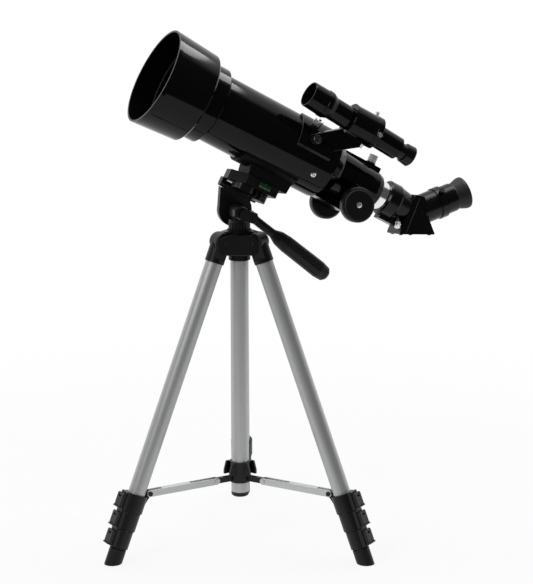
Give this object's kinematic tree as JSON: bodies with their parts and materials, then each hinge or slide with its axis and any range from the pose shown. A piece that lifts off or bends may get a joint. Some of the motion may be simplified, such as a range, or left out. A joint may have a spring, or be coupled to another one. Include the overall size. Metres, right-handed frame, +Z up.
{
  "type": "telescope on tripod",
  "caption": "Small refracting telescope with finder, rack focuser and angled eyepiece on a folding table-top tripod with pan and tilt head.",
  "frame": {"origin": "on the floor under the centre column's axis, in the middle of the three feet", "axes": "+Z up along the centre column, -Y towards the viewer of the picture, +X to that viewer's right"},
  "size_m": [0.4353, 0.2728, 0.6047],
  "materials": {
    "satin_aluminium": "satin anodised",
    "black_plastic": "satin",
    "gloss_black": "gloss",
    "black_rubber": "matte",
    "chrome": "polished",
    "nickel": "polished nickel",
    "lens_glass": "coated",
    "green_vial": "clear"
  },
  "bodies": {
    "base": {"shoulder": "black_plastic", "centre_tube": "satin_aluminium", "column_end_cap": "black_plastic"},
    "leg_a": {"leg_a_upper": "satin_aluminium"},
    "leg_a_section_2": {"leg_a_section_2": "black_plastic"},
    "leg_a_lever_1": {"leg_a_lever_1": "black_plastic"},
    "leg_a_section_3": {"leg_a_section_3": "black_plastic"},
    "leg_a_lever_2": {"leg_a_lever_2": "black_plastic"},
    "leg_a_foot_section": {"leg_a_foot_section": "black_rubber"},
    "leg_a_lever_3": {"leg_a_lever_3": "black_plastic"},
    "leg_a_brace": {"leg_a_brace": "satin_aluminium"},
    "leg_b": {"leg_b_upper": "satin_aluminium"},
    "leg_b_section_2": {"leg_b_section_2": "black_plastic"},
    "leg_b_lever_1": {"leg_b_lever_1": "black_plastic"},
    "leg_b_section_3": {"leg_b_section_3": "black_plastic"},
    "leg_b_lever_2": {"leg_b_lever_2": "black_plastic"},
    "leg_b_foot_section": {"leg_b_foot_section": "black_rubber"},
    "leg_b_lever_3": {"leg_b_lever_3": "black_plastic"},
    "leg_b_brace": {"leg_b_brace": "satin_aluminium"},
    "leg_c": {"leg_c_upper": "satin_aluminium"},
    "leg_c_section_2": {"leg_c_section_2": "black_plastic"},
    "leg_c_lever_1": {"leg_c_lever_1": "black_plastic"},
    "leg_c_section_3": {"leg_c_section_3": "black_plastic"},
    "leg_c_lever_2": {"leg_c_lever_2": "black_plastic"},
    "leg_c_foot_section": {"leg_c_foot_section": "black_rubber"},
    "leg_c_lever_3": {"leg_c_lever_3": "black_plastic"},
    "leg_c_brace": {"leg_c_brace": "satin_aluminium"},
    "spreader_hub": {"spreader_hub": "black_plastic"},
    "elevator_column": {"elevator_column": "satin_aluminium"},
    "column_lock_collar": {"column_lock_collar": "black_plastic"},
    "pan_neck": {"pan_neck": "black_plastic"},
    "tilt_bracket": {"tilt_bracket": "black_plastic"},
    "tilt_wing_knob": {"tilt_wing_knob": "black_plastic"},
    "pan_handle": {"pan_handle": "black_rubber"},
    "telescope": {"platform": "black_plastic", "bubble_level": "green_vial", "mounting_foot": "black_plastic", "main_tube": "gloss_black", "lens_cell": "black_plastic", "dew_shield": "black_plastic", "objective_lenses": "lens_glass", "focuser_housing": "black_plastic", "finder_tube": "black_plastic", "finder_objective": "lens_glass", "finder_bracket": "black_plastic", "finder_fasteners": "nickel"},
    "camera_screw": {"camera_screw": "black_plastic"},
    "drawtube": {"drawtube": "chrome", "drawtube_adapter": "black_plastic"},
    "focus_shaft": {"focus_pinion": "nickel", "focus_wheels": "black_plastic"},
    "focus_lock_screw": {"focus_lock_screw": "nickel"},
    "adapter_thumbscrew": {"adapter_thumbscrew": "nickel"},
    "diagonal": {"diagonal_body": "black_plastic", "diagonal_prism": "lens_glass"},
    "eyepiece_thumbscrew": {"eyepiece_thumbscrew": "nickel"},
    "eyepiece": {"eyepiece_body": "black_plastic", "eyecup": "black_rubber", "eyepiece_lens": "lens_glass"},
    "finder_eyepiece": {"finder_eyepiece": "black_plastic"}
  },
  "joints": [
    {"name": "leg_a_fold", "type": "hinge", "parent": "base", "child": "leg_a", "pos_m": [-0.02078, -0.012, 0.36337], "axis": [-0.5, 0.866, 0], "range_deg": [-14.63, 0]},
    {"name": "leg_a_section_2_slide", "type": "slide", "parent": "leg_a", "child": "leg_a_section_2", "axis": [-0.3192, -0.1843, -0.9296], "range_m": [0, 0.22]},
    {"name": "leg_a_lever_1_flip", "type": "hinge", "parent": "leg_a", "child": "leg_a_lever_1", "pos_m": [-0.13444, -0.07762, 0.0815], "axis": [-0.5, 0.866, 0], "range_deg": [0, 85]},
    {"name": "leg_a_section_3_slide", "type": "slide", "parent": "leg_a_section_2", "child": "leg_a_section_3", "axis": [-0.3192, -0.1843, -0.9296], "range_m": [0, 0.22]},
    {"name": "leg_a_lever_2_flip", "type": "hinge", "parent": "leg_a_section_2", "child": "leg_a_lever_2", "pos_m": [-0.14042, -0.08107, 0.06057], "axis": [-0.5, 0.866, 0], "range_deg": [0, 85]},
    {"name": "leg_a_foot_section_slide", "type": "slide", "parent": "leg_a_section_3", "child": "leg_a_foot_section", "axis": [-0.3192, -0.1843, -0.9296], "range_m": [0, 0.22]},
    {"name": "leg_a_lever_3_flip", "type": "hinge", "parent": "leg_a_section_3", "child": "leg_a_lever_3", "pos_m": [-0.1464, -0.08452, 0.03964], "axis": [-0.5, 0.866, 0], "range_deg": [0, 85]},
    {"name": "leg_a_brace_fold", "type": "hinge", "parent": "leg_a", "child": "leg_a_brace", "pos_m": [-0.10471, -0.06046, 0.07693], "axis": [-0.5, 0.866, 0], "range_deg": [-67.3, 0]},
    {"name": "leg_b_fold", "type": "hinge", "parent": "base", "child": "leg_b", "pos_m": [0.02078, -0.012, 0.36337], "axis": [-0.5, -0.866, 0], "range_deg": [-14.63, 0]},
    {"name": "leg_b_section_2_slide", "type": "slide", "parent": "leg_b", "child": "leg_b_section_2", "axis": [0.3192, -0.1843, -0.9296], "range_m": [0, 0.22]},
    {"name": "leg_b_lever_1_flip", "type": "hinge", "parent": "leg_b", "child": "leg_b_lever_1", "pos_m": [0.13444, -0.07762, 0.0815], "axis": [-0.5, -0.866, 0], "range_deg": [0, 85]},
    {"name": "leg_b_section_3_slide", "type": "slide", "parent": "leg_b_section_2", "child": "leg_b_section_3", "axis": [0.3192, -0.1843, -0.9296], "range_m": [0, 0.22]},
    {"name": "leg_b_lever_2_flip", "type": "hinge", "parent": "leg_b_section_2", "child": "leg_b_lever_2", "pos_m": [0.14042, -0.08107, 0.06057], "axis": [-0.5, -0.866, 0], "range_deg": [0, 85]},
    {"name": "leg_b_foot_section_slide", "type": "slide", "parent": "leg_b_section_3", "child": "leg_b_foot_section", "axis": [0.3192, -0.1843, -0.9296], "range_m": [0, 0.22]},
    {"name": "leg_b_lever_3_flip", "type": "hinge", "parent": "leg_b_section_3", "child": "leg_b_lever_3", "pos_m": [0.1464, -0.08452, 0.03964], "axis": [-0.5, -0.866, 0], "range_deg": [0, 85]},
    {"name": "leg_b_brace_fold", "type": "hinge", "parent": "leg_b", "child": "leg_b_brace", "pos_m": [0.10471, -0.06046, 0.07693], "axis": [-0.5, -0.866, 0], "range_deg": [-67.3, 0]},
    {"name": "leg_c_fold", "type": "hinge", "parent": "base", "child": "leg_c", "pos_m": [0, 0.024, 0.36337], "axis": [1, 0, 0], "range_deg": [-14.63, 0]},
    {"name": "leg_c_section_2_slide", "type": "slide", "parent": "leg_c", "child": "leg_c_section_2", "axis": [0, 0.3686, -0.9296], "range_m": [0, 0.22]},
    {"name": "leg_c_lever_1_flip", "type": "hinge", "parent": "leg_c", "child": "leg_c_lever_1", "pos_m": [0, 0.15524, 0.0815], "axis": [1, 0, 0], "range_deg": [0, 85]},
    {"name": "leg_c_section_3_slide", "type": "slide", "parent": "leg_c_section_2", "child": "leg_c_section_3", "axis": [0, 0.3686, -0.9296], "range_m": [0, 0.22]},
    {"name": "leg_c_lever_2_flip", "type": "hinge", "parent": "leg_c_section_2", "child": "leg_c_lever_2", "pos_m": [0, 0.16214, 0.06057], "axis": [1, 0, 0], "range_deg": [0, 85]},
    {"name": "leg_c_foot_section_slide", "type": "slide", "parent": "leg_c_section_3", "child": "leg_c_foot_section", "axis": [0, 0.3686, -0.9296], "range_m": [0, 0.22]},
    {"name": "leg_c_lever_3_flip", "type": "hinge", "parent": "leg_c_section_3", "child": "leg_c_lever_3", "pos_m": [0, 0.16904, 0.03964], "axis": [1, 0, 0], "range_deg": [0, 85]},
    {"name": "leg_c_brace_fold", "type": "hinge", "parent": "leg_c", "child": "leg_c_brace", "pos_m": [0, 0.12091, 0.07693], "axis": [1, 0, 0], "range_deg": [-67.3, 0]},
    {"name": "spreader_hub_slide", "type": "slide", "parent": "base", "child": "spreader_hub", "axis": [0, 0, 1], "range_m": [0, 0.0725]},
    {"name": "elevator_slide", "type": "slide", "parent": "base", "child": "elevator_column", "axis": [0, 0, 1], "range_m": [0, 0.18]},
    {"name": "column_lock_turn", "type": "hinge", "parent": "base", "child": "column_lock_collar", "pos_m": [0, 0, 0.378], "axis": [0, 0, 1], "range_deg": [0, 90]},
    {"name": "pan_turn", "type": "hinge", "parent": "elevator_column", "child": "pan_neck", "pos_m": [0, 0, 0.38], "axis": [0, 0, 1], "continuous": true},
    {"name": "tilt_turn", "type": "hinge", "parent": "pan_neck", "child": "tilt_bracket", "pos_m": [0, 0, 0.396], "axis": [-0.3239, 0.9461, 0], "range_deg": [-58.5, 12]},
    {"name": "tilt_wing_turn", "type": "hinge", "parent": "tilt_bracket", "child": "tilt_wing_knob", "pos_m": [0, 0, 0.396], "axis": [0.3239, -0.9461, 0], "range_deg": [0, 180]},
    {"name": "pan_handle_turn", "type": "hinge", "parent": "tilt_bracket", "child": "pan_handle", "pos_m": [0.00234, 0.02046, 0.39548], "axis": [0.7321, 0.2507, -0.6334], "range_deg": [0, 180]},
    {"name": "platform_flip", "type": "hinge", "parent": "tilt_bracket", "child": "telescope", "pos_m": [0.00364, 0.02091, 0.41458], "axis": [-0.8291, -0.2839, 0.4818], "range_deg": [-8, 82]},
    {"name": "camera_screw_turn", "type": "hinge", "parent": "telescope", "child": "camera_screw", "pos_m": [0.02353, 0.00636, 0.41844], "axis": [0.4063, 0.2862, 0.8678], "continuous": true},
    {"name": "focus_turn", "type": "hinge", "parent": "telescope", "child": "focus_shaft", "pos_m": [0.11909, 0.04591, 0.39779], "axis": [-0.3842, 0.9152, -0.122], "range_deg": [-98, 543]},
    {"name": "drawtube_slide", "type": "slide", "parent": "telescope", "child": "drawtube", "axis": [0.8291, 0.2839, -0.4818], "range_m": [-0.008, 0.045]},
    {"name": "focus_lock_turn", "type": "hinge", "parent": "telescope", "child": "focus_lock_screw", "pos_m": [0.15457, 0.06685, 0.44316], "axis": [0.4063, 0.2862, 0.8678], "range_deg": [0, 180]},
    {"name": "adapter_thumbscrew_turn", "type": "hinge", "parent": "drawtube", "child": "adapter_thumbscrew", "pos_m": [0.18964, 0.07444, 0.38967], "axis": [-0.1315, -0.7385, -0.6614], "range_deg": [0, 180]},
    {"name": "diagonal_turn", "type": "hinge", "parent": "drawtube", "child": "diagonal", "pos_m": [0.19793, 0.07728, 0.38485], "axis": [0.8291, 0.2839, -0.4818], "continuous": true},
    {"name": "eyepiece_thumbscrew_turn", "type": "hinge", "parent": "diagonal", "child": "eyepiece_thumbscrew", "pos_m": [0.23723, 0.09443, 0.38972], "axis": [0.1021, -0.7, 0.7068], "range_deg": [0, 180]},
    {"name": "eyepiece_slide", "type": "slide", "parent": "diagonal", "child": "eyepiece", "axis": [0.8735, 0.4031, 0.273], "range_m": [0, 0.03]},
    {"name": "finder_focus_turn", "type": "hinge", "parent": "telescope", "child": "finder_eyepiece", "pos_m": [0.1269, 0.01358, 0.50117], "axis": [0.7934, 0.3058, -0.5262], "range_deg": [0, 300]}
  ],
  "couplings": [
    {"joint": "leg_a_brace_fold", "follows": "leg_a_fold", "ratio": 4.597},
    {"joint": "leg_b_fold", "follows": "leg_a_fold", "ratio": 1},
    {"joint": "leg_b_brace_fold", "follows": "leg_a_fold", "ratio": 4.597},
    {"joint": "leg_c_fold", "follows": "leg_a_fold", "ratio": 1},
    {"joint": "leg_c_brace_fold", "follows": "leg_a_fold", "ratio": 4.597},
    {"joint": "spreader_hub_slide", "follows": "leg_a_fold", "m_per_rad": -0.28135},
    {"joint": "focus_turn", "follows": "drawtube_slide", "rad_per_m": 209.44}
  ]
}
